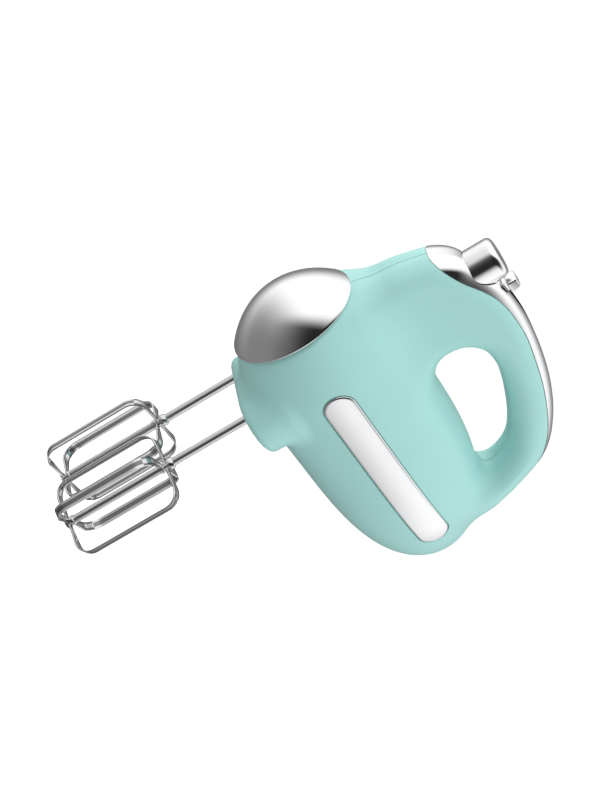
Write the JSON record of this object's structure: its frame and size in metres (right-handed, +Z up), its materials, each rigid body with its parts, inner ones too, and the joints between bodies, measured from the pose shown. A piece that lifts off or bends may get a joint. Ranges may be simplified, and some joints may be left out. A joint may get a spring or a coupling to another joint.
{
  "type": "hand mixer",
  "caption": "Electric hand mixer with an egg-shaped motor pod, loop handle, chrome cap and trim, eject button, sliding speed selector and pull-out beaters.",
  "frame": {"origin": "middle of the grip, inside the top bar of the loop handle", "axes": "+X from the nose towards the tail, +Z up from the beaters towards the grip, +Y towards the mixer's right side"},
  "size_m": [0.2214, 0.0873, 0.2942],
  "materials": {
    "mint": "satin moulded plastic",
    "chrome": "polished",
    "steel": "polished stainless",
    "dark_plastic": "matt",
    "white_plastic": "moulded",
    "copper": "enamelled winding wire",
    "brass": "sintered"
  },
  "bodies": {
    "housing": {"left_housing": "mint", "right_housing": "mint", "nose_cap": "chrome", "handle_trim": "chrome", "housing_screw_1": "steel", "housing_screw_2": "steel", "housing_screw_3": "steel", "housing_screw_4": "steel", "housing_screw_5": "steel", "left_side_strip": "chrome", "right_side_strip": "chrome", "eject_spring": "steel", "spring_seat": "white_plastic", "speed_switch": "dark_plastic", "stator_core": "steel", "upper_field_coil": "copper", "lower_field_coil": "copper", "left_brush": "brass", "right_brush": "brass", "front_bearing": "brass", "rear_bearing": "brass", "rear_bearing_bridge": "white_plastic", "gearbox_frame": "dark_plastic", "left_spindle_bush": "brass", "right_spindle_bush": "brass", "cable_gland": "dark_plastic"},
    "eject": {"eject_button": "chrome", "eject_rod": "white_plastic", "eject_fork": "white_plastic"},
    "selector": {"speed_selector": "chrome", "selector_slide": "dark_plastic"},
    "motor": {"armature": "steel", "commutator": "copper", "motor_shaft": "steel", "cooling_fan": "white_plastic"},
    "left_drive": {"left_spindle": "steel", "left_worm_wheel": "white_plastic"},
    "right_drive": {"right_spindle": "steel", "right_worm_wheel": "white_plastic"},
    "left_beater": {"left_beater_shaft": "steel", "left_beater_outer_strip": "steel", "left_beater_cross_strip": "steel"},
    "right_beater": {"right_beater_shaft": "steel", "right_beater_outer_strip": "steel", "right_beater_cross_strip": "steel"}
  },
  "joints": [
    {"name": "eject_press", "type": "slide", "parent": "housing", "child": "eject", "axis": [0, 0, -1], "range_m": [0, 0.008], "stiffness_N_per_m": 300, "springref_m": -0.004, "deforming": ["eject_spring"]},
    {"name": "speed_slide", "type": "slide", "parent": "housing", "child": "selector", "axis": [1, 0, 0], "range_m": [0, 0.028]},
    {"name": "motor_spin", "type": "hinge", "parent": "housing", "child": "motor", "pos_m": [0, 0, -0.0925], "axis": [1, 0, 0], "continuous": true},
    {"name": "left_drive_spin", "type": "hinge", "parent": "housing", "child": "left_drive", "pos_m": [-0.078, -0.0205, -0.0925], "axis": [0, 0, 1], "continuous": true},
    {"name": "right_drive_spin", "type": "hinge", "parent": "housing", "child": "right_drive", "pos_m": [-0.078, 0.0205, -0.0925], "axis": [0, 0, 1], "continuous": true},
    {"name": "left_beater_pull", "type": "slide", "parent": "left_drive", "child": "left_beater", "axis": [0, 0, -1], "range_m": [0, 0.04]},
    {"name": "right_beater_pull", "type": "slide", "parent": "right_drive", "child": "right_beater", "axis": [0, 0, -1], "range_m": [0, 0.04]}
  ],
  "couplings": [
    {"joint": "left_drive_spin", "follows": "motor_spin", "ratio": 0.071429},
    {"joint": "right_drive_spin", "follows": "motor_spin", "ratio": -0.071429}
  ]
}
